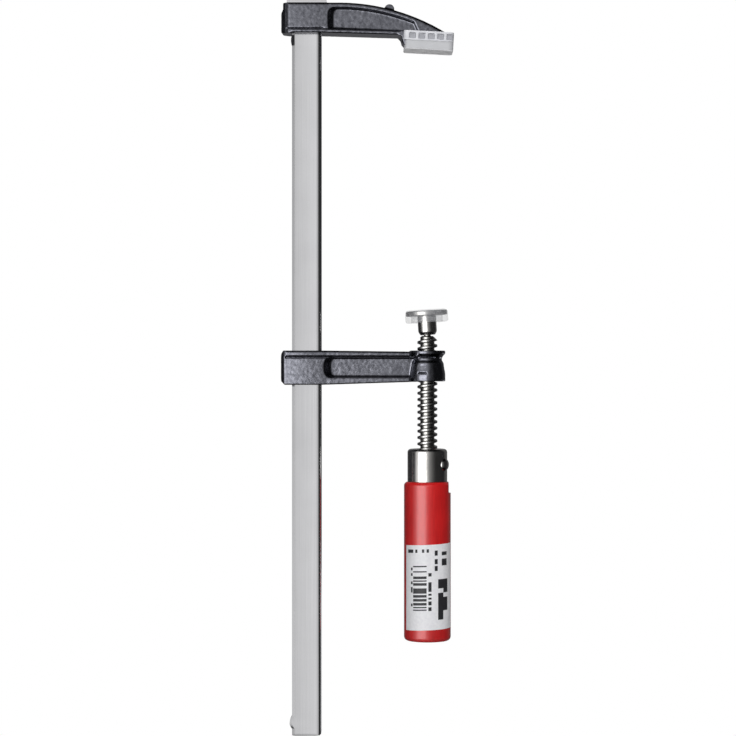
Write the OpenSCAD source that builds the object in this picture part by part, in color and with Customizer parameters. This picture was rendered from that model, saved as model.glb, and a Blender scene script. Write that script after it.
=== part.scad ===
// Bar clamp: a cast arm fixed to a drawn steel bar, a cast arm that slides on it,
// and a trapezoidal screw with a swivelling pressure pad and a wooden handle.
// Millimetres. The origin is the centre of the fixed jaw's clamping face, on the screw's axis.
// +Z runs up along the bar, +X from the bar towards the jaws, and Y across the clamp's thickness.

/* [Bar] */
// Width of the bar, in the plane of the clamp
bar_w = 14; // [12:0.5:18]
// Thickness of the bar
bar_t = 6; // [5:0.5:8]
// Rounding of the bar's long edges
bar_edge_r = 1.9; // [0.6:0.1:2.2]
// Length of the bar below the fixed arm
bar_free = 331.5; // [260:0.5:480]
// Broken corners at the bar's lower end
bar_chamfer = 0.8; // [0.3:0.1:1.5]
// Height of the upset head that keeps the fixed arm on
head_h = 1.1; // [0.8:0.1:2]
// How far the head reaches past the bar on every side
head_lap = 2.4; // [1:0.1:2.8]
// How far the peened stop stands out of the bar's back edge
stop_h = 1.4; // [0.8:0.1:1.8]
// Length of the peened stop
stop_len = 6.6; // [5:0.2:10]
// From the bar's lower end to the stop
stop_above_end = 3.3; // [2:0.1:12]
// How far the stake under the fixed arm stands out
stake_h = 0.5; // [0.3:0.1:0.8]
// Length of the stake
stake_len = 4.6; // [3:0.2:8]

/* [Arms] */
// From the bar to the screw's axis
throat = 50; // [42:1:80]
// Metal on each flat side of the bar
cheek = 3.5; // [2.5:0.1:6]
// Metal behind the bar
back_wall = 5.2; // [3.6:0.1:8]
// From the bar to the edge of the recess
recess_gap = 2.4; // [1.5:0.1:5]
// Depth of the recess on each side of the web
recess_depth = 2.6; // [1:0.1:3.2]
// How far the clamping-side rib stands out of the boss on each side
rib_proud = 0.5; // [0.2:0.1:1.2]
// Rounding of the arms' back ends, seen from above
end_r = 3.2; // [1.5:0.1:4.5]
// Rounding of the back ends' corners, seen from the side
corner_r = 2; // [1:0.1:3]

/* [Fixed arm] */
// Height of its underside over the jaw face
fixed_under = 8.2; // [7.5:0.1:12]
// Height of its boss
fixed_h = 14.35; // [13:0.05:20]
// Height of the rib along its underside
fixed_rib_h = 2.4; // [1.5:0.1:3.5]
// From the bar to where its back starts to fall
crown_flat = 8; // [5:0.1:16]
// Radius of its back
crown_r = 97; // [90:1:120]
// Metal over the recess
crown_wall = 2.2; // [1.5:0.1:3.5]
// Height of the recess at its jaw end
recess_tip_h = 2; // [1:0.1:3]
// Fall of the underside towards the jaw
under_fall = 1.5; // [0:0.1:2]
// From the screw's axis back to the jaw foot's heel
heel = 12.8; // [9:0.1:15]
// From the screw's axis to the jaw foot's toe
toe = 10.5; // [8:0.1:13]
// Toe-in of the jaw, in degrees
toe_in = 3; // [0:0.5:4]
// Width of the cast nub on its back
nub_w = 4.6; // [3:0.1:6]
// Height of the nub
nub_h = 2; // [1:0.1:2.3]
// From the bar to the nub
nub_from_bar = 32.2; // [26:0.1:36]

/* [Jaw cap] */
// Wall of the cap
cap_wall = 1.4; // [1:0.1:2.2]
// Floor of the cap, under the jaw foot
cap_floor = 1.8; // [1:0.1:2.5]
// Height of the cap
cap_h = 8.6; // [7.6:0.1:10]
// Rounding of the cap's upright corners
cap_r = 2.2; // [1.5:0.1:3]
// Heel of the foot that the cap leaves bare
cap_setback = 0.8; // [0.5:0.1:3]
// Height of the collar round its upper half
collar_h = 4.4; // [4:0.1:5]
// How far the collar stands out of the lower half at the sides
collar_proud = 0.3; // [0.1:0.1:0.5]
// How far the collar reaches past the lower half at the heel
collar_heel = 1.1; // [0.5:0.1:2]
// Pockets in each side of the collar
pocket_count = 5; // [3:1:5]
// Width of a pocket
pocket_w = 3.1; // [2:0.1:3.4]
// Height of a pocket
pocket_h = 2.8; // [2:0.1:3.2]
// Depth of a pocket
pocket_depth = 0.7; // [0.3:0.1:0.9]
// From one pocket to the next
pocket_pitch = 4.4; // [4:0.1:4.7]
// Bar of the collar over the pockets
pocket_top = 1; // [0.6:0.1:1.2]
// How far the row of pockets sits towards the toe
pocket_shift = 1.3; // [0:0.1:2]

/* [Sliding arm] */
// From the jaw face down to its upper side, as shown
arm_drop = 141.4; // [110:0.1:200]
// Height of its boss
slide_h = 16.2; // [13:0.1:20]
// Height of the rib along its upper side
slide_rib_h = 3; // [2:0.1:4]
// Metal under the recess
slide_floor = 4.2; // [2.5:0.1:5]
// Rise of its underside towards the screw
slide_rise = 1.6; // [0:0.1:2]
// Metal round the screw
nut_wall = 3.75; // [2.8:0.05:5]
// Depth of the waist round the nut boss
waist_depth = 1.4; // [0.5:0.1:2]

/* [Screw] */
// Outside diameter of the thread
thread_d = 9.5; // [9:0.1:13]
// Pitch of the thread
pitch = 3; // [2.5:0.5:4]
// Depth of the thread
thread_depth = 1.4; // [1:0.1:1.6]
// From the sliding arm down to the ferrule, as shown
screw_out = 30.3; // [20:0.1:60]
// Diameter of the ball at the screw's tip
ball_d = 5.2; // [4.6:0.1:5.6]
// How much the ball stands out of the neck under it
ball_shoulder = 1; // [0.7:0.1:1.2]
// Plain length between the pad's neck and the thread
tip_room = 1.1; // [0.9:0.1:3]
// Diameter of the tang in the handle
tang_d = 6; // [5:0.1:6.6]
// Length of the tang from the ferrule's upper end
tang_len = 50; // [30:1:60]

/* [Pressure pad] */
// From the sliding arm up to the ball's centre, as shown
ball_rise = 10.9; // [9:0.1:20]
// Diameter of the pad
pad_d = 17.6; // [14:0.1:20]
// Thickness of the pad's plate
pad_plate = 3.8; // [2:0.1:4]
// Diameter of the pad's neck
neck_d = 8.8; // [8.2:0.1:10]
// From the ball's centre down to the neck's lip
neck_drop = 3.5; // [3.4:0.1:4]
// Height of the neck's crimped edge
crimp_h = 1.5; // [0.8:0.1:1.5]
// How far the crimp draws the edge in
crimp_in = 0.95; // [0.4:0.05:1]
// From the ball's centre down to the retaining ring
ring_drop = 1.6; // [1.5:0.05:1.7]
// Height of the ring
ring_h = 0.6; // [0.4:0.05:0.7]
// Width of the ring
ring_w = 0.5; // [0.4:0.05:0.6]
// How far the ring reaches in under the ball
ring_bite = 0.4; // [0.3:0.05:0.45]
// Room round the ring, in which the pad leans
lean_room = 0.55; // [0.5:0.05:0.6]
// Room round the ball's neck in the pad's lip
lip_room = 0.8; // [0.7:0.05:1]
// From the ball's centre up to the plate
plate_rise = 3.3; // [3:0.1:4]
// Wall of the pad's cap
pad_cap_wall = 1.3; // [0.8:0.1:2]
// How far the cap reaches round the plate's lower edge
pad_lip = 0.9; // [0.6:0.1:1.2]
// Tilt of the pad as shown, in degrees
pad_lean = 3.5; // [0:0.5:6]

/* [Handle] */
// Diameter of the handle
handle_d = 22.1; // [21:0.1:30]
// Length of the handle below the ferrule
handle_len = 75; // [70:0.5:120]
// Rounding of the handle's lower edge
handle_r = 2; // [1:0.1:4]
// Ledge of the handle round the ferrule
shoulder = 0.6; // [0.3:0.1:1]
// Depth of the flat at the handle's upper end
nick_depth = 1.1; // [0.5:0.1:1.2]
// Direction of that flat, in degrees from the front towards the jaws' side
nick_turn = 90; // [0:1:180]
// Height of the flat
nick_h = 5; // [3:0.1:8]
// Diameter of the ferrule
ferrule_d = 18.8; // [17:0.1:20]
// Length of the ferrule
ferrule_len = 15.6; // [13:0.1:22]
// Sheet thickness of the ferrule
ferrule_wall = 0.8; // [0.5:0.1:1.2]
// Rounding of the ferrule's upper edge
ferrule_r = 1.6; // [0.8:0.1:2]
// Diameter of the cross pin
pin_d = 4; // [3:0.1:4.5]
// Diameter of the cross pin's head
pin_head_d = 6.6; // [5.5:0.1:8]
// How far the head stands out of the ferrule
pin_head_h = 1.4; // [0.8:0.1:2]
// Direction of the pin's head, in degrees from the front towards the jaws' side
pin_turn = 62; // [0:1:90]
// From the ferrule's upper end to the pin
pin_below_top = 7.3; // [5:0.1:8]
// From the handle's upper end to the label
label_below_top = 29; // [10:0.5:32]
// Height of the label
label_h = 40; // [20:0.5:42]
// Length of the label round the handle, in degrees
label_wrap = 138; // [90:1:300]
// Turn of the label's middle, in degrees from the front towards the jaws' side
label_turn = 5; // [-90:1:90]
// Thickness of the label
label_t = 0.15; // [0.1:0.01:0.3]

/* [Fits] */
// Gap between pieces that are pressed together
press_gap = 0.05; // [0.02:0.01:0.1]
// Gap between the bar and the sliding arm
slide_gap = 0.25; // [0.15:0.01:0.4]
// Gap between the screw's thread and its nut
thread_gap = 0.2; // [0.15:0.01:0.25]
// Gap between the ball and its socket
ball_gap = 0.1; // [0.05:0.01:0.15]

/* [Hidden] */
$fn = 64;
// Room that a cutting shape reaches past what it cuts
past = 1;

// Bar
bar_x = -throat - bar_w / 2;
bar_back = -throat - bar_w;
bar_end = fixed_under - bar_free;
head_w = bar_w + 2 * head_lap;
head_t = bar_t + 2 * head_lap;
stop_r = (pow(stop_len / 2, 2) + stop_h * stop_h) / (2 * stop_h);
stop_t = bar_t - 2 * stop_h;

// Arms
boss_t = bar_t + 2 * cheek;
rib_t = boss_t + 2 * rib_proud;
back_x = bar_back - back_wall;
recess_x = -throat + recess_gap;
fixed_top = fixed_under + fixed_h;
crown_x = -throat + crown_flat;
nub_r = (pow(nub_w / 2, 2) + nub_h * nub_h) / (2 * nub_h);
nub_x = -throat + nub_from_bar;
nose_x = toe * cos(toe_in);
crown_turn = asin((nose_x - crown_x) / crown_r);
foot_z = cap_floor + press_gap;
slide_top = -arm_drop;
slide_bottom = slide_top - slide_h;
nut_r = thread_d / 2 + nut_wall;
nut_bottom = slide_bottom + slide_rise;

// Screw. The thread's lower end is hidden in the ferrule, and its core reaches past both ends of the ridge.
flank_angle = 15;
crest_r = thread_d / 2;
root_r = crest_r - thread_depth;
flank = thread_depth * tan(flank_angle);
flat = pitch / 2 - flank;
segments = 24;
core_r = root_r - thread_gap;
ball_r = ball_d / 2;
ball_z = slide_top + ball_rise;
ball_neck_r = ball_r - ball_shoulder;
thread_top = ball_z - neck_drop - tip_room;
ferrule_top = slide_bottom - screw_out;
ferrule_bottom = ferrule_top - ferrule_len;
thread_turns = ceil((thread_top - ferrule_top) / pitch + 1 / 2);
thread_z = thread_top - pitch * (thread_turns + 1);
tang_end = ferrule_top - tang_len;

// Pad, measured from the ball's centre. The room round the ring and the ball's neck lets the pad lean.
socket_r = ball_r + ball_gap;
ring_in = ball_r - ring_bite;
ring_out = ring_in + ring_w;
ring_top = -ring_drop;
ring_bottom = ring_top - ring_h;
groove_r = ring_out + lean_room;
groove_top = ring_top + lean_room;
groove_bottom = ring_bottom - lean_room;
lip_r = ball_neck_r + lip_room;
plate_top = plate_rise + pad_plate;
pad_cap_r = pad_d / 2 + press_gap + pad_cap_wall;

// Handle
handle_end = ferrule_bottom - handle_len;
shoulder_r = ferrule_d / 2 + shoulder;
tenon_r = ferrule_d / 2 - ferrule_wall - press_gap;
tenon_top = ferrule_top - ferrule_wall - press_gap;
tang_bore_r = tang_d / 2 + press_gap;
thread_bore_r = crest_r + thread_gap;
pin_z = ferrule_top - pin_below_top;
pin_hole_r = pin_d / 2 + press_gap;
label_in = handle_d / 2 + press_gap / 2;
label_top = ferrule_bottom - label_below_top;

// Points of an arc about c from angle a to angle b
function arc(c, r, a, b, n = 8) = [for (i = [0:n]) c + r * [cos(a + (b - a) * i / n), sin(a + (b - a) * i / n)]];
// A point turned with the jaw, toe down, about the origin
function toed(p) = [p.x * cos(toe_in) + p.y * sin(toe_in), p.y * cos(toe_in) - p.x * sin(toe_in)];
// Height of the fixed arm's underside at x
function under_z(x) = fixed_under - under_fall * (x + throat) / throat;

// A plate of thickness t from an outline drawn in the clamp's plane
module plate(t) {
    rotate([90, 0, 0]) linear_extrude(height = t, center = true) children();
}

module rounded_rect(w, h, r) {
    square([w - 2 * r, h], center = true);
    square([w, h - 2 * r], center = true);
    for (sx = [-1, 1], sy = [-1, 1]) translate([sx * (w / 2 - r), sy * (h / 2 - r)]) circle(r);
}

// The bar's section with a gap all round
module bar_section(gap = 0) {
    translate([bar_x, 0]) rounded_rect(bar_w + 2 * gap, bar_t + 2 * gap, bar_edge_r + gap);
}

// The bar's section as a cutter between two heights
module bar_hole(bottom, top, gap) {
    translate([0, 0, bottom]) linear_extrude(height = top - bottom) bar_section(gap);
}

// The arms' outline from above, with rounded back corners
module arm_plan(bottom, top, t) {
    translate([0, 0, bottom - past]) linear_extrude(height = top - bottom + 2 * past) {
        translate([back_x + end_r, -t / 2]) square([nose_x + past - back_x - end_r, t]);
        translate([back_x, end_r - t / 2]) square([end_r + past, t - 2 * end_r]);
        for (s = [-1, 1]) translate([back_x + end_r, s * (t / 2 - end_r)]) circle(end_r);
    }
}

// The two back corners of an arm's outline, from its lower to its upper one
function back_corners(bottom, top) = concat(
    arc([back_x + corner_r, top - corner_r], corner_r, 90, 180),
    arc([back_x + corner_r, bottom + corner_r], corner_r, 180, 270));

// A right-hand trapezoidal thread as one solid, with its ridge grown by gap on every side
module thread_solid(z, turns, gap = 0) {
    steps = turns * segments;
    radii = [root_r, root_r, crest_r, crest_r];
    heights = [gap, flat - gap, flat + flank - gap, 2 * flat + flank + gap];
    function point(i, s) = let (a = 360 * i / segments, r = radii[s] + gap)
        [r * cos(a), r * sin(a), z + pitch * i / segments + heights[s]];
    function at(i, s) = s == 4 ? start(i + segments) : s == 0 ? start(i) : 4 * i + s;
    function start(i) = i <= steps ? 4 * i : 4 * (steps + 1) + i - steps - 1;
    low = 4 * (steps + 1) + segments;
    high = low + 1;
    points = concat(
        [for (i = [0:steps], s = [0:3]) point(i, s)],
        [for (i = [steps + 1:steps + segments]) point(i, 0)],
        [[0, 0, z + pitch / 2], [0, 0, z + pitch * (turns + 1 / 2)]]);
    sides = [for (i = [0:steps - 1], s = [0:3], half = [0, 1])
        half == 0 ? [at(i, s), at(i, s + 1), at(i + 1, s + 1)] : [at(i, s), at(i + 1, s + 1), at(i + 1, s)]];
    bottom_fan = concat(
        [for (i = [0:segments - 1]) [start(i), start(i + 1), low]],
        [for (s = [0:3]) [at(0, s + 1), at(0, s), low]]);
    top_fan = concat(
        [for (i = [steps:steps + segments - 1]) [start(i + 1), start(i), high]],
        [for (s = [0:3]) [at(steps, s), at(steps, s + 1), high]]);
    polyhedron(points, concat(sides, bottom_fan, top_fan));
}

module guide_bar() {
    color("#c9cbcd") {
        intersection() {
            bar_hole(bar_end, fixed_top + head_h / 2, 0);
            plate(bar_t + 2 * past) polygon([
                [bar_back, fixed_top + head_h],
                [bar_back, bar_end + bar_chamfer],
                [bar_back + bar_chamfer, bar_end],
                [-throat - bar_chamfer, bar_end],
                [-throat, bar_end + bar_chamfer],
                [-throat, fixed_top + head_h]]);
        }
        translate([bar_x, 0, fixed_top]) linear_extrude(height = head_h)
            rounded_rect(head_w, head_t, bar_edge_r + head_lap / 2);
        translate([bar_back + stop_r - stop_h, 0, bar_end + stop_above_end + stop_len / 2])
            rotate([90, 0, 0]) cylinder(r = stop_r, h = stop_t, center = true);
        translate([bar_back - stake_h, -stop_t / 2, fixed_under - stake_len])
            cube([bar_w / 2, stop_t, stake_len]);
    }
}

// The fixed arm's outline with its jaw foot
module fixed_outline() {
    polygon(concat(
        back_corners(fixed_under, fixed_top),
        [[-throat, fixed_under],
         [-heel, under_z(-heel)],
         toed([-heel, foot_z]),
         toed([toe, foot_z])],
        arc([crown_x, fixed_top - crown_r], crown_r, 90 - crown_turn, 90, 16)));
}

module fixed_arm() {
    color("#3b4250") difference() {
        union() {
            intersection() {
                plate(boss_t) fixed_outline();
                arm_plan(fixed_under, fixed_top, boss_t);
            }
            intersection() {
                plate(rib_t) fixed_outline();
                arm_plan(fixed_under - cap_h, fixed_under + fixed_rib_h - past, rib_t);
            }
            translate([nub_x, 0, crown_back(nub_x) + nub_h - nub_r]) rotate([90, 0, 0])
                cylinder(r = nub_r, h = boss_t - 2 * end_r, center = true);
        }
        for (s = [-1, 1]) translate([0, s * (boss_t / 2 - recess_depth / 2 + past / 2), 0])
            plate(recess_depth + past) fixed_recess();
        bar_hole(fixed_under - past, fixed_top + past, press_gap);
    }
}

// Height of the fixed arm's back at x, on its round stretch
function crown_back(x) = fixed_top - crown_r + sqrt(crown_r * crown_r - pow(x - crown_x, 2));

// The recess beside the fixed arm's web: it keeps crown_wall under the back and narrows to its jaw end
module fixed_recess() {
    low = fixed_under + fixed_rib_h;
    inner_r = crown_r - crown_wall;
    centre = [crown_x, fixed_top - crown_r];
    tip = acos((low + recess_tip_h - centre.y) / inner_r);
    polygon(concat(
        [[recess_x, low], [crown_x + inner_r * sin(tip), low]],
        arc(centre, inner_r, 90 - tip, 90, 10),
        arc([recess_x + corner_r, fixed_top - crown_wall - corner_r], corner_r, 90, 180)));
}

// The cap is a plain box with a collar round its upper half, open at the heel
module jaw_cap() {
    inner_t = rib_t + 2 * press_gap;
    outer_t = inner_t + 2 * cap_wall;
    front = toe + press_gap + cap_wall;
    back = -heel + cap_setback;
    mid = (front + back) / 2;
    lower_back = back + collar_heel;
    collar_z = cap_h - collar_h;
    first = mid + pocket_shift - pocket_pitch * (pocket_count - 1) / 2;
    color([0.86, 0.88, 0.9, 0.6]) rotate([0, toe_in, 0]) difference() {
        union() {
            translate([(front + lower_back) / 2, 0, 0]) linear_extrude(height = cap_h)
                rounded_rect(front - lower_back, outer_t - 2 * collar_proud, cap_r);
            translate([mid, 0, collar_z]) linear_extrude(height = collar_h)
                rounded_rect(front - back, outer_t, cap_r);
        }
        translate([back - past, -inner_t / 2, cap_floor])
            cube([toe + press_gap - back + past, inner_t, cap_h]);
        for (i = [0:pocket_count - 1], s = [-1, 1])
            translate([first + i * pocket_pitch, s * (outer_t - pocket_depth + past) / 2,
                       cap_h - pocket_top - pocket_h / 2])
                cube([pocket_w, pocket_depth + past, pocket_h], center = true);
    }
}

// The sliding arm's outline, without its nut boss
module slide_outline() {
    polygon(concat(
        back_corners(slide_bottom, slide_top),
        [[-throat, slide_bottom], [0, nut_bottom], [0, slide_top]]));
}

module sliding_arm() {
    color("#3b4250") difference() {
        union() {
            intersection() {
                plate(boss_t) slide_outline();
                arm_plan(slide_bottom, slide_top, boss_t);
            }
            intersection() {
                plate(rib_t) slide_outline();
                arm_plan(slide_top - slide_rib_h + past, slide_top, rib_t);
            }
            nut_boss();
        }
        difference() {
            for (s = [-1, 1]) translate([0, s * (boss_t / 2 - recess_depth / 2 + past / 2), 0])
                plate(recess_depth + past) slide_recess();
            translate([0, 0, slide_bottom]) cylinder(r = nut_r - waist_depth, h = slide_h);
        }
        bar_hole(slide_bottom - past, slide_top + past, slide_gap);
        nut_thread();
    }
}

// The nut boss, turned: a rim at each end and a waist between them
module nut_boss() {
    waist_r = nut_r - waist_depth;
    waist_top = slide_top - slide_rib_h - waist_depth / 2;
    rotate_extrude() polygon([
        [0, nut_bottom],
        [nut_r, nut_bottom],
        [nut_r, nut_bottom + slide_floor],
        [waist_r, waist_top - waist_depth],
        [waist_r, waist_top],
        [nut_r, slide_top - slide_rib_h + waist_depth / 2],
        [nut_r, slide_top],
        [0, slide_top]]);
}

// The recess beside the sliding arm's web, round at the bar and open to the nut boss
module slide_recess() {
    low = slide_bottom + slide_floor;
    high = slide_top - slide_rib_h;
    r = (high - low) / 2;
    translate([recess_x + r, low]) square([-recess_x - r, high - low]);
    translate([recess_x + r, low + r]) circle(r);
}

// The nut's thread as a cutter, in mesh with the screw's
module nut_thread() {
    first = floor((nut_bottom - thread_z) / pitch) - 2;
    thread_solid(thread_z + first * pitch, ceil(slide_h / pitch) + 2, thread_gap);
}

module spindle() {
    color("#8f9296") difference() {
        union() {
            thread_solid(thread_z, thread_turns);
            translate([0, 0, tang_end]) cylinder(d = tang_d, h = thread_z + 4 / 3 * pitch - tang_end);
            translate([0, 0, thread_z + pitch]) cylinder(r = core_r, h = thread_top - thread_z - pitch);
            translate([0, 0, thread_top - pitch]) cylinder(r = ball_neck_r, h = ball_z - thread_top + pitch);
            translate([0, 0, ball_z]) sphere(r = ball_r);
        }
        pin_hole();
    }
}

module retaining_ring() {
    color("#6d6f72") translate([0, 0, ball_z]) rotate_extrude() translate([ring_in, ring_bottom])
        square([ring_out - ring_in, ring_top - ring_bottom]);
}

// Places what belongs to the pad: leaning about the ball's centre
module at_pad() {
    translate([0, 0, ball_z]) rotate([0, -pad_lean, 0]) children();
}

module pressure_pad() {
    color("#b9bcc0") at_pad() rotate_extrude() polygon([
        [lip_r, -neck_drop],
        [neck_d / 2 - crimp_in, -neck_drop],
        [neck_d / 2, crimp_h - neck_drop],
        [neck_d / 2, plate_rise],
        [pad_d / 2, plate_rise],
        [pad_d / 2, plate_top],
        [0, plate_top],
        [0, socket_r],
        [socket_r, socket_r],
        [socket_r, groove_top],
        [groove_r, groove_top],
        [groove_r, groove_bottom],
        [lip_r, groove_bottom]]);
}

module pad_cap() {
    inner = pad_d / 2 + press_gap;
    top = plate_top + press_gap;
    color([0.86, 0.88, 0.9, 0.6]) at_pad() rotate_extrude() polygon([
        [0, top],
        [inner, top],
        [inner, plate_rise - press_gap],
        [inner - pad_cap_wall, plate_rise - press_gap],
        [inner - pad_cap_wall, plate_rise - pad_lip],
        [pad_cap_r, plate_rise - pad_lip],
        [pad_cap_r, top + pad_cap_wall],
        [0, top + pad_cap_wall]]);
}

// The pin's hole through ferrule, handle and tang
module pin_hole() {
    along_pin() cylinder(r = pin_hole_r, h = 2 * ferrule_d, center = true);
}

// Turns +Z to the pin's axis, towards its head
module along_pin() {
    translate([0, 0, pin_z]) rotate([0, 0, pin_turn - 90]) rotate([0, 90, 0]) children();
}

module ferrule() {
    r = ferrule_d / 2;
    inner = r - ferrule_wall;
    color("#c6c9cc") difference() {
        rotate_extrude() polygon(concat(
            [[inner, ferrule_bottom + press_gap], [r, ferrule_bottom + press_gap]],
            arc([r - ferrule_r, ferrule_top - ferrule_r], ferrule_r, 0, 90),
            [[thread_bore_r, ferrule_top],
             [thread_bore_r, ferrule_top - ferrule_wall],
             [inner, ferrule_top - ferrule_wall]]));
        pin_hole();
    }
}

module cross_pin() {
    seat = ferrule_d / 2 + press_gap;
    base = sqrt(seat * seat - pow((pin_head_d + ferrule_wall) / 2, 2));
    rise = seat + pin_head_h - base;
    dome_r = (pow(pin_head_d / 2, 2) + rise * rise) / (2 * rise);
    color("#a9adb1") along_pin() {
        translate([0, 0, -seat]) cylinder(d = pin_d, h = 2 * seat + pin_head_h / 2);
        difference() {
            intersection() {
                translate([0, 0, base + rise - dome_r]) sphere(r = dome_r);
                translate([0, 0, base]) cylinder(d = 2 * pin_head_d, h = 2 * rise);
            }
            rotate([0, 90, 0]) cylinder(r = seat, h = 2 * pin_head_d, center = true);
        }
    }
}

module handle() {
    r = handle_d / 2;
    color("#b81f25") difference() {
        rotate_extrude() polygon(concat(
            [[0, handle_end]],
            arc([r - handle_r, handle_end + handle_r], handle_r, -90, 0),
            [[r, ferrule_bottom - (r - shoulder_r)],
             [shoulder_r, ferrule_bottom],
             [tenon_r, ferrule_bottom],
             [tenon_r, tenon_top],
             [0, tenon_top]]));
        translate([0, 0, tang_end - past]) cylinder(r = tang_bore_r, h = tenon_top - tang_end + 2 * past);
        translate([0, 0, thread_z - past]) cylinder(r = thread_bore_r, h = tenon_top - thread_z + 2 * past);
        pin_hole();
        rotate([0, 0, nick_turn - 90]) translate([r - nick_depth, -r, ferrule_bottom - nick_h])
            cube([r, 2 * r, nick_h + past]);
    }
}

module label() {
    color("#f2f2ee") rotate([0, 0, label_turn - 90 - label_wrap / 2]) rotate_extrude(angle = label_wrap)
        translate([label_in, label_top - label_h]) square([label_t, label_h]);
}

guide_bar();
fixed_arm();
jaw_cap();
sliding_arm();
spindle();
retaining_ring();
pressure_pad();
pad_cap();
ferrule();
cross_pin();
handle();
label();
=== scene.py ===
import math

import bmesh
import bpy
from mathutils import Matrix, Vector


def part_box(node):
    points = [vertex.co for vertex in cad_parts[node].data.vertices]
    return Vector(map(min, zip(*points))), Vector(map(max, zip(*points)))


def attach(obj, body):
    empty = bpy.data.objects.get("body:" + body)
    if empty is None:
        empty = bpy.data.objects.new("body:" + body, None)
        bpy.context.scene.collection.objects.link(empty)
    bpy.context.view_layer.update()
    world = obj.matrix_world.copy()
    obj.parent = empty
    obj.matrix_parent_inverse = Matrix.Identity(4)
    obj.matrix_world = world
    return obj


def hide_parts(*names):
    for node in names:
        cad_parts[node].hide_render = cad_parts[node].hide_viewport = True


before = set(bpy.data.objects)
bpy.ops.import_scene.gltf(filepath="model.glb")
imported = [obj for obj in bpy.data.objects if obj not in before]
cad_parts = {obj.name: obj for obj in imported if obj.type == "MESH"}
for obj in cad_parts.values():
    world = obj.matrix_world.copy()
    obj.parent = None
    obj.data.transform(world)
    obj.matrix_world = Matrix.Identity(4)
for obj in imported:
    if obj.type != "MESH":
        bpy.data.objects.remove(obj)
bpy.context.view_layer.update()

mm = 0.001
touch = 0.01  # mm within which two places count as one
past = 5  # mm by which a cutter runs past what it cuts
scene = bpy.context.scene
scene.view_settings.view_transform = "Standard"
print("frame loaded:", len(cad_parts), "nodes")

photoView = {
    "cameraX": -28.1,  # mm, between bar and screw
    "cameraZ": -149.65,
    "distance": 1040,
    "focalPixels": 2197,
    "imagePixels": 736,
    "sensor": 36,
}
cameraData = bpy.data.cameras.new("photoCamera")
cameraData.sensor_width = photoView["sensor"]
cameraData.lens = photoView["sensor"] * photoView["focalPixels"] / photoView["imagePixels"]
camera = bpy.data.objects.new("photoCamera", cameraData)
camera.location = Vector((photoView["cameraX"], -photoView["distance"], photoView["cameraZ"])) * mm
camera.rotation_euler = (math.pi / 2, 0, 0)
scene.collection.objects.link(camera)
scene.camera = camera


# Nodes and colours

def linearColour(hexText):
    parts = [int(hexText[i:i + 2], 16) / 255 for i in (1, 3, 5)]
    return [c / 12.92 if c <= 0.04045 else ((c + 0.055) / 1.055) ** 2.4 for c in parts] + [1]


def feed(tree, node, links):  # each input with what feeds it: a socket, or a node for its first output
    for key, source in links.items():
        tree.links.new(source.outputs[0] if hasattr(source, "outputs") else source, node.inputs[key])


def addNode(tree, kind, settings=None, links=None):
    node = tree.nodes.new("ShaderNode" + kind)
    for key, value in (settings or {}).items():
        if key == "stops":  # a ramp's places and hex colours, in order
            ramp = node.color_ramp
            while len(ramp.elements) < len(value):
                ramp.elements.new(1)
            for element, (spot, hexText) in zip(ramp.elements, value):
                element.position = spot
                element.color = linearColour(hexText)
        elif isinstance(key, str) and hasattr(node, key):
            setattr(node, key, value)
        else:
            node.inputs[key].default_value = value
    feed(tree, node, links or {})
    return node


def startMaterial(name, sockets):
    material = bpy.data.materials.new(name)
    material.use_nodes = True
    tree = material.node_tree
    for key, value in sockets.items():
        tree.nodes["Principled BSDF"].inputs[key].default_value = value
    return material, tree, addNode(tree, "TexCoord").outputs["Object"]


# what feeds the colour, with its stops, then the roughness, with its range, and the relief, with its strength
# and depth
def finishMaterial(material, colour, stops, rough=None, relief=None):
    tree = material.node_tree
    surface = tree.nodes["Principled BSDF"]
    links = {"Base Color": addNode(tree, "ValToRGB", {"stops": stops}, {0: colour})}
    if rough:
        source, low, high = rough
        links["Roughness"] = addNode(tree, "MapRange", {"To Min": low, "To Max": high}, {"Value": source})
    if relief:
        source, strength, depth = relief
        links["Normal"] = addNode(tree, "Bump", {"Strength": strength, "Distance": depth * mm},
                                  {"Height": source})
        if surface.inputs["Coat Weight"].default_value:
            links["Coat Normal"] = links["Normal"]
    feed(tree, surface, links)
    return material


def perMm(size):  # texture scale whose features are this many millimetres long
    return 1 / (size * mm)


def screwRadius(tree, place):  # distance from the screw's axis
    flat = addNode(tree, "VectorMath", {"operation": "MULTIPLY", 1: (1, 1, 0)}, {0: place})
    return addNode(tree, "VectorMath", {"operation": "LENGTH"}, {0: flat}).outputs["Value"]


# Meshes, all worked in millimetres until a piece is dressed

def thicken(bm, face, across):  # draws a face out along y
    grown = bmesh.ops.extrude_face_region(bm, geom=[face])["geom"]
    far = [g for g in grown if isinstance(g, bmesh.types.BMVert)]
    bmesh.ops.translate(bm, verts=far, vec=(0, across, 0))
    bmesh.ops.recalc_face_normals(bm, faces=bm.faces)


def plate(points, halfWidth):  # corners in x and z, thickness across y
    bm = bmesh.new()
    face = bm.faces.new([bm.verts.new((x, -halfWidth, z)) for x, z in points])
    thicken(bm, face, 2 * halfWidth)
    return bm


def upright(points, low, high):  # corners in x and y, drawn up between two heights
    bm = plate([(x, -y) for x, y in points], (high - low) / 2)
    bm.transform(Matrix.Translation((0, 0, (low + high) / 2)) @ Matrix.Rotation(math.pi / 2, 4, "X"))
    return bm


def block(low, high):
    bm = bmesh.new()
    size = Vector(high) - Vector(low)
    middle = (Vector(high) + Vector(low)) / 2
    bmesh.ops.create_cube(bm, size=1, matrix=Matrix.Translation(middle) @ Matrix.Diagonal((*size, 1)))
    return bm


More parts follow.
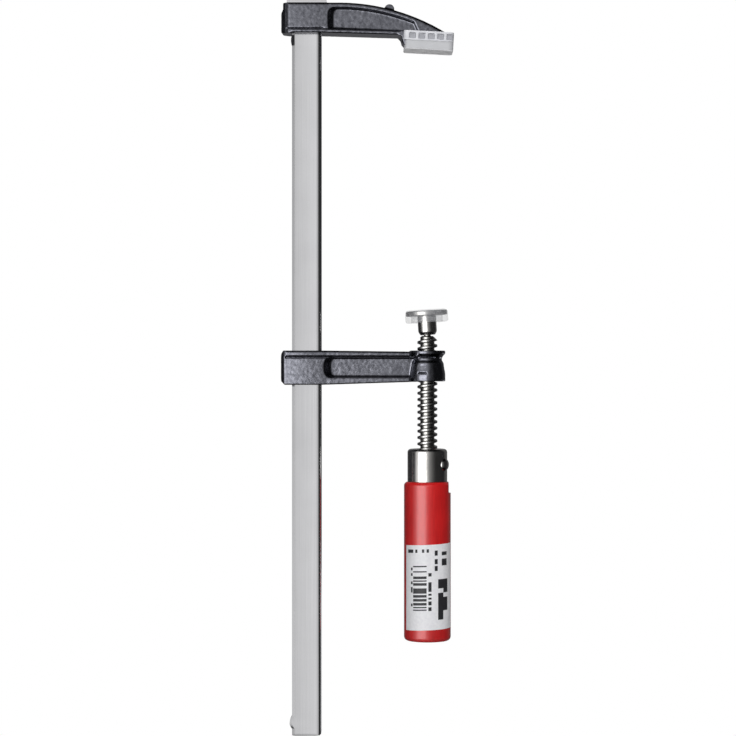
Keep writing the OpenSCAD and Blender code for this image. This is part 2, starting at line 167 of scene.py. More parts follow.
def rod(radius, length, place, segments):
    bm = bmesh.new()
    bmesh.ops.create_cone(bm, cap_ends=True, segments=segments, radius1=radius, radius2=radius, depth=length,
                          matrix=place)
    return bm


def cutAlong(bm, place, across, clear=False):  # cuts faces along a plane, and may clear what lies beyond it
    bmesh.ops.bisect_plane(bm, geom=bm.verts[:] + bm.edges[:] + bm.faces[:], plane_co=place, plane_no=across,
                           clear_outer=clear)


def arcPoints(x, z, radius, endTurn, steps):  # from straight up towards the right, in degrees
    turns = [math.radians(endTurn * i / steps) for i in range(steps + 1)]
    return [(x + radius * math.sin(t), z + radius * math.cos(t)) for t in turns]


def edgesWhere(bm, test):
    return [e for e in bm.edges if all(test(v.co) for v in e.verts)]


def roundEdges(bm, edges, radius, segments=6):
    bmesh.ops.bevel(bm, geom=edges, offset=radius, offset_type="OFFSET", affect="EDGES",
                    segments=segments, profile=0.5, material=-1, clamp_overlap=True)


def roundCorner(bm, x, z, radius, segments=6):  # the edge across the plate at one corner of its outline
    corner = edgesWhere(bm, lambda p: abs(p.x - x) < touch and abs(p.z - z) < touch)
    roundEdges(bm, corner, radius, segments)


def drawnOutline(outline, segments):  # radius, height and the corner's rounding
    bm = bmesh.new()
    chain = [bm.verts.new((r, 0, z)) for r, z, rounding in outline]
    for pair in zip(chain, chain[1:]):
        bm.edges.new(pair)
    for vert, (r, z, rounding) in zip(chain, outline):
        if rounding:
            bmesh.ops.bevel(bm, geom=[vert], offset=rounding, offset_type="OFFSET", affect="VERTICES",
                            segments=segments, profile=0.5, material=-1, clamp_overlap=True)
    return bm


def turned(outline, steps=96):
    bm = drawnOutline(outline, 5)
    bmesh.ops.spin(bm, geom=bm.verts[:] + bm.edges[:], cent=(0, 0, 0), axis=(0, 0, 1),
                   angle=2 * math.pi, steps=steps, use_merge=True)
    bmesh.ops.remove_doubles(bm, verts=bm.verts, dist=0.001)
    bmesh.ops.recalc_face_normals(bm, faces=bm.faces)
    return bm


def meshObject(name, bm):
    mesh = bpy.data.meshes.new(name)
    bm.to_mesh(mesh)
    bm.free()
    obj = bpy.data.objects.new(name, mesh)
    scene.collection.objects.link(obj)
    return obj


def worked(obj, steps):  # runs the modifiers in order and keeps what they make
    tools = []
    for kind, settings in steps:
        modifier = obj.modifiers.new(kind, kind)
        for key, value in settings.items():
            setattr(modifier, key, value)
        if kind == "BOOLEAN":
            tools.append(modifier.object)
    done = bpy.data.meshes.new_from_object(obj.evaluated_get(bpy.context.evaluated_depsgraph_get()))
    obj.modifiers.clear()
    obj.data = done
    for tool in tools:
        bpy.data.objects.remove(tool)
    return obj


def joinAndCut(steps):  # pairs of UNION or DIFFERENCE and a bmesh
    return [("BOOLEAN", {"operation": operation, "solver": "EXACT", "object": meshObject("tool", shape)})
            for operation, shape in steps]


def stageObject(name, bm):
    obj = meshObject(name, bm)
    obj.data.transform(Matrix.Scale(mm, 4))
    return obj


def dress(obj, material, body, node, sharpAngle=40):
    obj.data.transform(Matrix.Scale(mm, 4))
    obj.data.shade_smooth()
    obj.data.set_sharp_from_angle(angle=math.radians(sharpAngle))
    obj.data.materials.clear()
    obj.data.materials.append(material)
    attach(obj, body)
    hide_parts(node)
    print("piece:", obj.name, len(obj.data.polygons), "faces")


def nodeBox(node):  # a CAD node's corners in millimetres
    low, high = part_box(node)
    return low / mm, high / mm


# Drawn flat bar, zinc plated: a pale satin face with fine lines along its length, coarser here than real
# ones so that they show

def drawnZincSteel():
    material, tree, place = startMaterial("drawnZincSteel", {"Metallic": 1})
    along = addNode(tree, "Mapping", {"Scale": (perMm(0.5), perMm(0.5), perMm(70))}, {"Vector": place})
    lines = addNode(tree, "TexNoise", {"Scale": 1, "Detail": 3}, {"Vector": along})
    haze = addNode(tree, "TexNoise", {"Scale": perMm(16), "Detail": 4}, {"Vector": place})
    both = addNode(tree, "Math", {"operation": "ADD"}, {0: lines, 1: haze})
    half = addNode(tree, "Math", {"operation": "MULTIPLY", 1: 0.5}, {0: both})
    return finishMaterial(material, half, [(0.3, "#d6d6d8"), (0.7, "#e2e2e4")], (haze, 0.12, 0.17),
                          (lines, 0.15, 0.02))


bar = {
    "width": 14,
    "thickness": 6,
    "edgeRound": 1.9,
    "backFlat": (1.3, 0.82),  # flats that break its back edges: width along the faces and across the edge
    "hollow": 0.03,  # the drawn faces dish this much inside their edges
    "hollowHalf": 4.3,
    "endChamfer": 0.8,
    "headWide": 18.8,
    "headDeep": 10.8,
    "headTall": 1.1,
    "headRound": 0.2,
    # bumps peened out of the back edge: height of the peak, length above and below it, how far they stand
    # out, how much of that the face follows and how far from the bar's middle their edges lie
    "bumps": [(-317.5, 3.6, 2.6, 1.15, 1, 2.18), (5.2, 3, 2.8, 0.55, 0, 0.9)],
    "bumpCuts": 12,
}
barLow, barHigh = nodeBox("guide_bar")
barX = barHigh.x - bar["headWide"] / 2
barTop = barHigh.z - bar["headTall"]


def barSection(grow, low, high):
    w, t = bar["width"] / 2 + grow, bar["thickness"] / 2 + grow
    along, across = bar["backFlat"]
    outline = [(along - w, -t), (w, -t), (w, t), (along - w, t), (-w, t - across), (-w, across - t)]
    bm = upright([(barX + x, y) for x, y in outline], low, high)
    front = edgesWhere(bm, lambda p: p.x > barX + w - touch and abs(p.y) > t - touch)
    roundEdges(bm, front, bar["edgeRound"] + grow)
    return bm


def guideBar():
    bm = barSection(0, barLow.z, barTop)
    roundEdges(bm, edgesWhere(bm, lambda p: abs(p.z - barLow.z) < touch), bar["endChamfer"], 2)
    for side in (-1, 1):
        cutAlong(bm, (barX + side * bar["hollowHalf"], 0, 0), (1, 0, 0))
    for vert in bm.verts:
        if abs(vert.co.x - barX) < bar["hollowHalf"] + touch:
            vert.co.y -= math.copysign(bar["hollow"], vert.co.y)
    for peak, above, below, out, follow, edgeHalf in bar["bumps"]:
        for i in range(bar["bumpCuts"] + 1):
            level = peak - below + (above + below) * i / bar["bumpCuts"]
            cutAlong(bm, (0, 0, level), (0, 0, 1))
        edgeWide = bar["backFlat"][0]
        edgeStart = barX - bar["width"] / 2 + edgeWide
        for vert in bm.verts:
            rise = vert.co.z - peak
            swell = math.cos(min(abs(rise) / (above if rise > 0 else below), 1) * math.pi / 2)
            share = min(max((edgeStart - vert.co.x) / edgeWide, 0), 1)
            if vert.co.x < edgeStart + touch:
                vert.co.x -= out * swell * max(share, follow)
            vert.co.y += (math.copysign(edgeHalf, vert.co.y) - vert.co.y) * swell * share
    head = block((barX - bar["headWide"] / 2, -bar["headDeep"] / 2, barTop),
                 (barX + bar["headWide"] / 2, bar["headDeep"] / 2, barHigh.z))
    roundEdges(head, edgesWhere(head, lambda p: p.z > barTop + touch), bar["headRound"], 4)
    return worked(meshObject("guideBar", bm), joinAndCut([("UNION", head)]))


barPiece = guideBar()
dress(barPiece, drawnZincSteel(), "frame", "guide_bar", 30)


# Sand castings under graphite paint with metal flake: faces to the light go mid grey, sides nearly black

def castPaint():
    material, tree, place = startMaterial("castPaint", {"Metallic": 1})
    pebble = addNode(tree, "TexNoise", {"Scale": perMm(1.6), "Detail": 3, "Roughness": 0.6},
                     {"Vector": place})
    grit = addNode(tree, "TexNoise", {"Scale": perMm(0.7), "Detail": 2}, {"Vector": place})
    colour = addNode(tree, "ValToRGB", {"stops": [(0.3, "#5e5f66"), (0.7, "#84858d")]}, {0: pebble})
    rough = addNode(tree, "MapRange", {"To Min": 0.25, "To Max": 0.33}, {"Value": grit})
    radius = screwRadius(tree, place)
    nutEnd, castStart, nutShare = casting["nutPaint"]
    smooth = addNode(tree, "MapRange", {"From Min": nutEnd * mm, "From Max": castStart * mm,
                                        "To Min": nutShare, "To Max": 1}, {"Value": radius})
    gloss = addNode(tree, "Math", {"operation": "MULTIPLY"}, {0: rough, 1: smooth})
    fine = addNode(tree, "Bump", {"Strength": 0.3, "Distance": 0.03 * mm}, {"Height": grit})
    coarse = addNode(tree, "Bump", {"Strength": 0.4, "Distance": 0.06 * mm},
                     {"Height": pebble, "Normal": fine})
    feed(tree, tree.nodes["Principled BSDF"], {"Base Color": colour, "Roughness": gloss, "Normal": coarse})
    return material


casting = {
    "bossHalf": 6.5,
    "ribHalf": 7,
    "throat": 50,
    "barrelHalf": 9.4,
    "barrelFade": (-40, -12),  # along the web the boss's swelling runs out between these
    "endReach": 8,  # length of web over which the slope of the recess's end runs out
    "grooveDeep": 1.2,
    "grooveTall": 0.55,
    "socketGap": 0.1,
    # the nut was turned before it was painted: radius where its smooth paint ends and where the cast skin
    # begins, and its share of the cast skin's roughness
    "nutPaint": (8.6, 10.5, 0.62),
    "lap": 1,  # joined shapes run into each other by this
    "cutterOut": 2,  # cutters stand out of the faces by this
    "grooveStart": 2,
    "longEdge": 2,  # edges that run further than this along x are long ones
    "keepEnd": (30, 1.6),  # the boss's end is kept out of a block that ends here and widens by this share
    "barrelSkin": (3.5, 2),  # the swelling starts this far from the middle and is full after the next
    "voxel": 0.275,
    "soften": 2,
    "pebble": 1.5,
    "pebbleLayers": 2,
    "pebbleDeep": 0.1,
    "pebbleLevel": 0.7,
}
paint = castPaint()
barFront = barX + bar["width"] / 2


def castSteps():  # rounds every edge as a casting's, then roughens the skin
    skin = bpy.data.textures.new("castSkin", "CLOUDS")
    skin.noise_scale = casting["pebble"]
    skin.noise_depth = casting["pebbleLayers"]
    return [("REMESH", {"mode": "VOXEL", "voxel_size": casting["voxel"]}),
            ("SMOOTH", {"factor": 0.5, "iterations": casting["soften"]}),
            ("DISPLACE", {"texture": skin, "strength": casting["pebbleDeep"],
                          "mid_level": casting["pebbleLevel"]})]


def recessCutters(points, rounds, cast):  # a pocket with sloping walls, one from each side
    cutters = []
    faceHalf, depth = casting["bossHalf"], cast["recessDeep"]
    draft, endDraft, lowDraft, tipDraft = cast["drafts"]
    for side in (-1, 1):
        bm = bmesh.new()
        face = bm.faces.new([bm.verts.new((x, side * faceHalf, z)) for x, z in points])
        bmesh.ops.recalc_face_normals(bm, faces=[face])
        thicken(bm, face, side * casting["cutterOut"])
        for x, z, radius in rounds:
            roundCorner(bm, x, z, radius)
        floor = [f for f in bm.faces if all(abs(v.co.y - side * faceHalf) < touch for v in f.verts)]
        bmesh.ops.inset_region(bm, faces=floor, thickness=draft, depth=depth, use_even_offset=True)
        sunk = [v for v in bm.verts if abs(v.co.y - side * (faceHalf - depth)) < touch]
        left, low = min(v.co.x for v in sunk), min(v.co.z for v in sunk)
        right = max(v.co.x for v in sunk)
        for vert in sunk:
            vert.co.x += (draft - tipDraft) * max(0, 1 - (right - vert.co.x) / casting["endReach"])
            vert.co.x += (endDraft - draft) * max(0, 1 - (vert.co.x - left) / casting["endReach"])
            vert.co.z += (lowDraft - draft) * max(0, 1 - (vert.co.z - low))
        cutters.append(("DIFFERENCE", bm))
    return cutters


def grooveCutters(points):  # the dark seam along the foot of a rib
    cutters = []
    half = casting["cutterOut"]
    middle = casting["bossHalf"] - casting["grooveDeep"] + half
    for side in (-1, 1):
        bm = plate(points, half)
        bmesh.ops.translate(bm, verts=bm.verts, vec=(0, side * middle, 0))
        cutters.append(("DIFFERENCE", bm))
    return cutters


def longEdges(bm, test=lambda p: True):
    return [e for e in edgesWhere(bm, test) if abs(e.verts[0].co.x - e.verts[1].co.x) > casting["longEdge"]]


def roundedRib(points, radius):  # its long edges are rounded over
    bm = plate(points, casting["ribHalf"])
    roundEdges(bm, longEdges(bm), radius)
    return bm


def roundedEnd(back, low, high, radius):  # what the boss keeps of its back end
    lap, half = casting["lap"], casting["ribHalf"]
    end, flare = casting["keepEnd"]
    bm = block((back, -half, low - lap), (end, half, high + lap))
    bmesh.ops.scale(bm, vec=(1, flare, 1), verts=[v for v in bm.verts if v.co.x > 0])
    roundEdges(bm, edgesWhere(bm, lambda p: p.x < back + touch), radius)
    return bm


def finishedCast(obj, steps, barrel):  # the boss's faces fall away a little from their middle
    piece = worked(worked(obj, joinAndCut(steps)), castSteps())
    fadeStart, fadeEnd = casting["barrelFade"]
    skinStart, skinDeep = casting["barrelSkin"]
    for vert in piece.data.vertices:
        x, y, z = vert.co
        off = min((x - barX) / casting["barrelHalf"], 1)
        fade = min(max((fadeEnd - x) / (fadeEnd - fadeStart), 0), 1)
        skin = min(max((abs(y) - skinStart) / skinDeep, 0), 1)
        vert.co.y -= math.copysign(barrel * off ** 2 * fade * skin, y)
    return piece


fixedCast = {
    "underFall": 1.12,  # the underside drops this much from bar to jaw
    "ribTall": 1.95,
    "ribRound": 0.9,
    "crownFlat": 8,
    "crownRound": 97,
    "crownTurn": 32.76,  # degrees of crown from its flat to the nose
    "crownEdge": 1.5,
    "backRound": 6.9,
    "backCut": 1,
    "backStep": (1, 3, 4.6),  # the back end's top stands in by the first, down to the next two
    "heel": (-12.15, 2.52),
    "heelTop": (-12.3, 7.08),
    "heelFillet": 1.6,
    "heelRound": 1.3,
    "toe": (10.583, 1.298),
    "recessX": -47,
    "recessDeep": 2.6,
    "recessRounds": (3.4, 1.2),
    "wall": 2.2,
    "tip": (-6.3, -4.3),  # the recess ends here, above and below
    # slope of the recess's walls: all round, towards the bar, along the rib and at the tip
    "drafts": (0.8, 2.4, 0.3, 0.1),
    "barrel": 0.12,
    "nubX": -18,
    "nubRound": 2.3,
    "nubTall": 2.4,
    "nubHalf": 4.4,
}
fixedBack = nodeBox("fixed_arm")[0].x


def fixedArm():
    heelX, heelZ = fixedCast["heelTop"]
    ribTall = fixedCast["ribTall"]
    under = heelZ + fixedCast["underFall"]
    crownX, crownZ = -casting["throat"] + fixedCast["crownFlat"], barTop - fixedCast["crownRound"]
    crown = arcPoints(crownX, crownZ, fixedCast["crownRound"], fixedCast["crownTurn"], 32)
    stepIn, stepHigh, stepLow = fixedCast["backStep"]
    lap, cut = casting["lap"], fixedCast["backCut"]
    ridge = [(fixedBack + stepIn, barTop)] + crown
    body = plate(ridge + [
        fixedCast["toe"], (heelX + 2 * lap, fixedCast["heel"][1]), (heelX + 2 * lap, heelZ + lap),
        (barFront, under + lap), (fixedBack, under + lap), (fixedBack, barTop - stepLow),
        (fixedBack + stepIn, barTop - stepHigh)], casting["bossHalf"])
    onRidge = edgesWhere(body, lambda p: any(abs(p.x - x) + abs(p.z - z) < touch for x, z in ridge))
    roundEdges(body, [e for e in onRidge if e.verts[0].co.y == e.verts[1].co.y], fixedCast["crownEdge"])

    def ribLine(x):
        return under + ribTall - fixedCast["underFall"] * max(0, (x - barFront) / (heelX - barFront))

    rib = roundedRib([(x, ribLine(x)) for x in (fixedBack, barFront, heelX)] + [
        (heelX, heelZ), (barFront, under), (fixedBack + cut, under), (fixedBack, under + cut)],
                     fixedCast["ribRound"])
    fillet = fixedCast["heelFillet"]
    foot = plate([crown[-1], fixedCast["toe"], fixedCast["heel"], (heelX, heelZ - fillet),
                  (heelX - fillet, heelZ), (heelX - fillet, heelZ + lap), (heelX, heelZ + ribTall)],
                 casting["ribHalf"])
    heelFront, heelHigh = fixedCast["heel"][0] + touch, heelZ - fillet + touch
    heelEdges = edgesWhere(foot, lambda p: p.x < heelFront and p.z < heelHigh)
    roundEdges(foot, heelEdges, fixedCast["heelRound"], 1)

    recessX, wall = fixedCast["recessX"], fixedCast["wall"]
    tipHigh, tipLow = fixedCast["tip"]
    innerRound = fixedCast["crownRound"] - wall
    tipTurn = math.degrees(math.asin((tipHigh - crownX) / innerRound))
    inner = arcPoints(crownX, crownZ, innerRound, tipTurn, 24)
    upperRound, lowerRound = fixedCast["recessRounds"]
    upper, lower = (recessX, barTop - wall), (recessX, ribLine(recessX))
    recess = recessCutters([upper] + inner + [(tipLow, ribLine(tipLow)), lower],
                           [(*upper, upperRound), (*lower, lowerRound)], fixedCast)
    seam = [(x, ribLine(x)) for x in (fixedBack + casting["grooveStart"], barFront, heelX)]
    groove = grooveCutters(seam + [(x, z + casting["grooveTall"]) for x, z in reversed(seam)])

    nubX, nubRound = fixedCast["nubX"], fixedCast["nubRound"]
    crownAtNub = crownZ + math.sqrt(fixedCast["crownRound"] ** 2 - (nubX - crownX) ** 2)
    nubZ = crownAtNub + fixedCast["nubTall"] - nubRound
    nubPlace = Matrix.Translation((nubX, 0, nubZ)) @ Matrix.Rotation(math.pi / 2, 4, "X")
    nub = rod(nubRound, 2 * fixedCast["nubHalf"], nubPlace, 32)
    steps = recess + [("UNION", rib), ("UNION", foot)] + groove + [
        ("UNION", nub), ("INTERSECT", roundedEnd(fixedBack, 0, barTop + past, fixedCast["backRound"])),
        ("DIFFERENCE", barSection(casting["socketGap"], under - 2 * past, barTop + past))]
    return finishedCast(meshObject("fixedArm", body), steps, fixedCast["barrel"])


fixedPiece = fixedArm()
dress(fixedPiece, paint, "frame", "fixed_arm", 180)

slidingCast = {
    "rise": 1.6,  # the underside climbs this much from bar to nut
    "ribTall": 3,
    "ribRound": 1.4,
    "lowRound": 0.8,
    "sag": 0.5,  # the upper edge dips this much between bar and nut
    "backRound": 3.8,
    "backCut": 1.8,
    "recessX": -48.8,
    "recessTall": 9.9,
    "recessDeep": 4.2,
    "recessRound": 3.4,
    "drafts": (0.8, 3, 0.9, 0.8),
    "barrel": 0.25,
    # the nut's turned outline: radius, height over its lower face and rounding
    "nut": [(8.5, 0, 0.5), (8.5, 3.8, 0.4), (7.85, 7.2, 0.3), (7.75, 8.6, 0.4), (6.9, 10, 0.3),
            (6.9, 11.1, 0.3), (7.9, 12.6, 0.3), (8.5, 13, 0.2), (8.5, 14.6, 0.4)],
    # a short mark on its front: left, right, up over the lower face, height, and from where to where outwards
    "nutSeam": (-4.6, -0.6, 3.5, 0.9, 6.6, 12),
    "nutWaist": [(-3.2, 8.4), (-8.4, 4), (-8.4, 8.4)],  # cut from both faces where the web meets the nut
    "grooveEnd": 3.5,
    "bore": 4.95,
    "boreLong": 60,
    "slotGap": 0.25,
}
slidingLow, slidingHigh = nodeBox("sliding_arm")


def slidingArm():
    back, top, bottom = slidingLow.x, slidingHigh.z, slidingLow.z
    nutLow, cut = bottom + slidingCast["rise"], slidingCast["backCut"]
    dipped = top - slidingCast["sag"]
    edge = [(back, top), (barFront, top), (-slidingCast["nut"][0][0], dipped), (0, dipped)]
    body = plate([(x, z - casting["lap"]) for x, z in edge] + [
        (0, nutLow), (barFront, bottom), (back + cut, bottom), (back, bottom + cut)], casting["bossHalf"])
    roundEdges(body, longEdges(body, lambda p: p.z < nutLow + touch), slidingCast["lowRound"])
    ribLow = top - slidingCast["ribTall"]
    rib = roundedRib(edge + [(0, ribLow), (back, ribLow)], slidingCast["ribRound"])
    recessX, recessRound = slidingCast["recessX"], slidingCast["recessRound"]
    low = ribLow - slidingCast["recessTall"]
    recess = recessCutters([(recessX, ribLow), (recessX, low), (0, low), (0, ribLow)],
                           [(recessX, ribLow, recessRound), (recessX, low, recessRound)], slidingCast)
    seamLow = ribLow - casting["grooveTall"]
    seamBack, seamFront = back + casting["grooveStart"], slidingCast["grooveEnd"]
    groove = grooveCutters([(seamBack, ribLow), (seamFront, ribLow), (seamFront, seamLow),
                            (seamBack, seamLow)])
    nutOutline = [(r, nutLow + z, rounding) for r, z, rounding in slidingCast["nut"]]
    nut = turned([(0, nutOutline[0][1], 0)] + nutOutline + [(0, nutOutline[-1][1], 0)])
    left, right, up, tall, inner, outer = slidingCast["nutSeam"]
    mark = block((left, -outer, nutLow + up), (right, -inner, nutLow + up + tall))
    waist = []
    for side in (-1, 1):
        notch = [(x, side * y) for x, y in slidingCast["nutWaist"]]
        waist.append(("DIFFERENCE", upright(notch, nutLow - past, top + past)))
    borePlace = Matrix.Translation((0, 0, (top + nutLow) / 2))
    bore = rod(slidingCast["bore"], slidingCast["boreLong"], borePlace, 64)
    steps = recess + [("UNION", rib), ("UNION", nut)] + groove + waist + [
        ("DIFFERENCE", mark), ("INTERSECT", roundedEnd(back, bottom, top, slidingCast["backRound"])),
        ("DIFFERENCE", bore), ("DIFFERENCE", barSection(slidingCast["slotGap"], bottom - past, top + past))]
    return finishedCast(meshObject("slidingArm", body), steps, slidingCast["barrel"])


slidingPiece = slidingArm()
dress(slidingPiece, paint, "slider", "sliding_arm", 180)


# Soft moulding gone milky: paler on the collar, painted light on the underside and painted shade in the
# pockets

def milkyPlastic():
    material, tree, place = startMaterial("milkyPlastic", {"Roughness": 0.32})
    cloud = addNode(tree, "TexNoise", {"Scale": perMm(5), "Detail": 3}, {"Vector": place})
    # the thickness attribute also carries painted light and painted shade: near white on the underside, grey
    # in the pockets
    thick = addNode(tree, "Attribute", {"attribute_name": "thickness"})
    uneven = addNode(tree, "MapRange", {"To Min": -0.1, "To Max": 0.1}, {"Value": cloud})
    level = addNode(tree, "Math", {"operation": "ADD"}, {0: thick.outputs["Fac"], 1: uneven})
    # the grey first stop is painted shade for the pockets, the near-white last stop painted light for the
    # underside
    shades = [(0, "#9c9da3"), (0.4, "#b8b9bc"), (0.75, "#c8c9ce"), (1, "#fcfcfd")]
    return finishMaterial(material, level, shades, relief=(cloud, 0.2, 0.05))


jawCap = {
    "toeIn": 3,
    "low": (-12, -8.45, 0),
    "high": (11.95, 8.45, 8.6),
    "wall": 1.4,
    "floor": 1.8,
    "cornerRound": 2.2,
    "collarLow": 4.2,  # the collar with its pockets stands out over the plain lower part
    "collarOut": 0.3,
    "collarBack": 0.7,
    "collarLap": 0.3,
    "pockets": 5,
    "pocketWide": 3.1,
    "pocketTall": 2.8,
    "pocketPitch": 4.4,
    "pocketMiddle": 1.28,
    "pocketTop": 1,
    "pocketDeep": 0.7,
    "pocketOut": 2,
    # tone at the pockets' floors, which is painted shade, on the collar, below it, and on the underside,
    # which is painted light
    "toneAndShade": (0, 0.75, 0.4, 1),
    "floorSkin": 0.25,
    "underSkin": 0.3,
    "heelSkin": 1,
    "voxel": 0.2,
    "soften": 4,
}


def roundedBlock(low, high, radius):
    bm = block(low, high)
    corners = [e for e in bm.edges if abs(e.verts[0].co.z - e.verts[1].co.z) > touch]
    roundEdges(bm, corners, radius)
    return bm


def jawCapPiece():
    low, high = Vector(jawCap["low"]), Vector(jawCap["high"])
    out, collarLow, corner = jawCap["collarOut"], jawCap["collarLow"], jawCap["cornerRound"]
    lower = roundedBlock((low.x + jawCap["collarBack"], low.y + out, low.z),
                         (high.x, high.y - out, collarLow + jawCap["collarLap"]), corner)
    collar = roundedBlock((low.x, low.y, collarLow), high, corner)
    wall = jawCap["wall"]
    steps = [("UNION", collar),
             ("DIFFERENCE", block((low.x - past, low.y + wall, jawCap["floor"]),
                                  (high.x - wall, high.y - wall, high.z + past)))]
    pocketHigh = high.z - jawCap["pocketTop"]
    pocketLow = pocketHigh - jawCap["pocketTall"]
    pocketFloor = high.y - jawCap["pocketDeep"]
    half = jawCap["pocketWide"] / 2
    for i in range(jawCap["pockets"]):
        middle = jawCap["pocketMiddle"] + (i - (jawCap["pockets"] - 1) / 2) * jawCap["pocketPitch"]
        for side in (-1, 1):
            inner, outer = sorted((side * pocketFloor, side * (high.y + jawCap["pocketOut"])))
            pocket = block((middle - half, inner, pocketLow), (middle + half, outer, pocketHigh))
            steps.append(("DIFFERENCE", pocket))
    piece = worked(meshObject("jawCap", lower), joinAndCut(steps) + [
        ("REMESH", {"mode": "VOXEL", "voxel_size": jawCap["voxel"]}),
        ("SMOOTH", {"factor": 0.5, "iterations": jawCap["soften"]})])
    thickness = piece.data.attributes.new("thickness", "FLOAT", "POINT")
    pocketPaintedShade, collarLook, lowerLook, underPaintedLight = jawCap["toneAndShade"]
    # the underside gets painted light, the pocket floors painted shade, and the collar and lower part their
    # own tone
    for vert in piece.data.vertices:
        x, y, z = vert.co.x, abs(vert.co.y), vert.co.z
        look = collarLook if z > collarLow else lowerLook if z > jawCap["underSkin"] else underPaintedLight
        sunk = pocketLow < z < pocketHigh and wall < y < pocketFloor + jawCap["floorSkin"]
        if sunk and low.x + jawCap["heelSkin"] < x:
            look = pocketPaintedShade
        thickness.data[vert.index].value = look
    piece.data.transform(Matrix.Rotation(math.radians(jawCap["toeIn"]), 4, "Y"))
    return piece


dress(jawCapPiece(), milkyPlastic(), "frame", "jaw_cap", 180)


# Rolled screw steel: bright crests, with painted shade darkening the roots

def shadedRootScrewSteel():
    material, tree, place = startMaterial("shadedRootScrewSteel", {"Metallic": 1})
    radius = screwRadius(tree, place)
    rootEnd, crestStart = screw["rootShade"]
    # the roots get a darker tone than the crests, which is painted shade
    crest = addNode(tree, "MapRange", {"From Min": rootEnd * mm, "From Max": crestStart * mm},
                    {"Value": radius})
    smear = addNode(tree, "TexNoise", {"Scale": perMm(2), "Detail": 3}, {"Vector": place})
    return finishMaterial(material, crest, [(0, "#a9a8a5"), (1, "#c4c3c1")], (smear, 0.16, 0.34))


screw = {
    "pitch": 3,
    "crest": 4.75,
    "root": 3.35,
    "rootFlat": 1.05,
    "flank": 0.5,
    "crestRound": 0.15,
    "rootShade": (3.4, 4.7),  # radius up to which the roots carry their painted shade and radius where the steel is bright
    "threadLow": -195.1,
    "threadHigh": -135.1,
    "turnSteps": 48,
    "ballZ": -130.5,
    "ball": 2.6,
    "neck": 1.6,
    "shoulder": 2.6,
    "shoulderTall": 0.6,
    "tang": 3,
    "tangRound": 0.5,
    "lap": 0.3,  # tip and tang run this far into the thread, and the neck into the ball by the next
    "ballLap": 0.2,
}


def spindlePiece():
    root, crest = screw["root"], screw["crest"]
    start = screw["threadLow"] - screw["pitch"]
    flatEnd = screw["rootFlat"]
    crestStart = flatEnd + screw["flank"]
    crestEnd = screw["pitch"] - screw["flank"]
    tooth = [(root, 0, 0), (root, flatEnd, 0), (crest, crestStart, screw["crestRound"]),
             (crest, crestEnd, screw["crestRound"]), (root, screw["pitch"], 0)]
    bm = drawnOutline([(r, start + z, rounding) for r, z, rounding in tooth], 3)
    turns = math.ceil((screw["threadHigh"] - start) / screw["pitch"]) + 1
    bmesh.ops.spin(bm, geom=bm.verts[:] + bm.edges[:], cent=(0, 0, 0), axis=(0, 0, 1),
                   dvec=(0, 0, screw["pitch"] / screw["turnSteps"]), angle=2 * math.pi * turns,
                   steps=screw["turnSteps"] * turns, use_merge=False)
    bmesh.ops.remove_doubles(bm, verts=bm.verts, dist=0.005)
    for level, up in ((screw["threadLow"], -1), (screw["threadHigh"], 1)):
        cutAlong(bm, (0, 0, level), (0, 0, up), True)
        rim = [e for e in bm.edges if e.is_boundary and abs(e.verts[0].co.z - level) < touch]
        bmesh.ops.edgeloop_fill(bm, edges=rim)
    for vert in bm.verts:  # the thread's upper end is chamfered down to its root
        reach = root + max(screw["threadHigh"] - vert.co.z, 0)
        shrink = min(reach / max(math.hypot(vert.co.x, vert.co.y), 0.001), 1)
        vert.co.x, vert.co.y = vert.co.x * shrink, vert.co.y * shrink
    bmesh.ops.recalc_face_normals(bm, faces=bm.faces)
    ball, neck = screw["ball"], screw["neck"]
    neckTop = screw["ballZ"] - math.sqrt(ball ** 2 - neck ** 2)
    high = screw["threadHigh"]
    cone = high + screw["shoulderTall"]
    tipLow, tipHigh = high - screw["lap"], neckTop + screw["ballLap"]
    tip = turned([(0, tipLow, 0), (root, tipLow, 0), (root, high, 0), (screw["shoulder"], cone, 0),
                  (neck, cone, 0), (neck, tipHigh, 0), (0, tipHigh, 0)], 32)
    ballMesh = bmesh.new()
    bmesh.ops.create_uvsphere(ballMesh, u_segments=32, v_segments=16, radius=ball,
                              matrix=Matrix.Translation((0, 0, screw["ballZ"])))
    tangLow = nodeBox("spindle")[0].z
    tangHigh, r = screw["threadLow"] + screw["lap"], screw["tang"]
    tang = turned([(0, tangLow, 0), (r, tangLow, screw["tangRound"]), (r, tangHigh, 0), (0, tangHigh, 0)], 32)
    return worked(meshObject("spindle", bm), joinAndCut([("UNION", s) for s in (tip, ballMesh, tang)]))


dress(spindlePiece(), shadedRootScrewSteel(), "screw", "spindle", 35)


# Bright nickel on turned and drawn steel: nearly a mirror, with smears and turning lines, which are coarser
# here than real ones so that they show

def brightNickel():
    material, tree, place = startMaterial("brightNickel", {"Metallic": 1})
    smear = addNode(tree, "TexNoise", {"Scale": perMm(6), "Detail": 4, "Roughness": 0.6}, {"Vector": place})
    turning = addNode(tree, "Mapping", {"Scale": (perMm(30), perMm(30), perMm(0.4))}, {"Vector": place})
    rings = addNode(tree, "TexNoise", {"Scale": 1, "Detail": 2}, {"Vector": turning})
    return finishMaterial(material, smear, [(0.3, "#cfcdca"), (0.7, "#dddbd8")], (smear, 0.14, 0.24),
                          (rings, 0.06, 0.02))


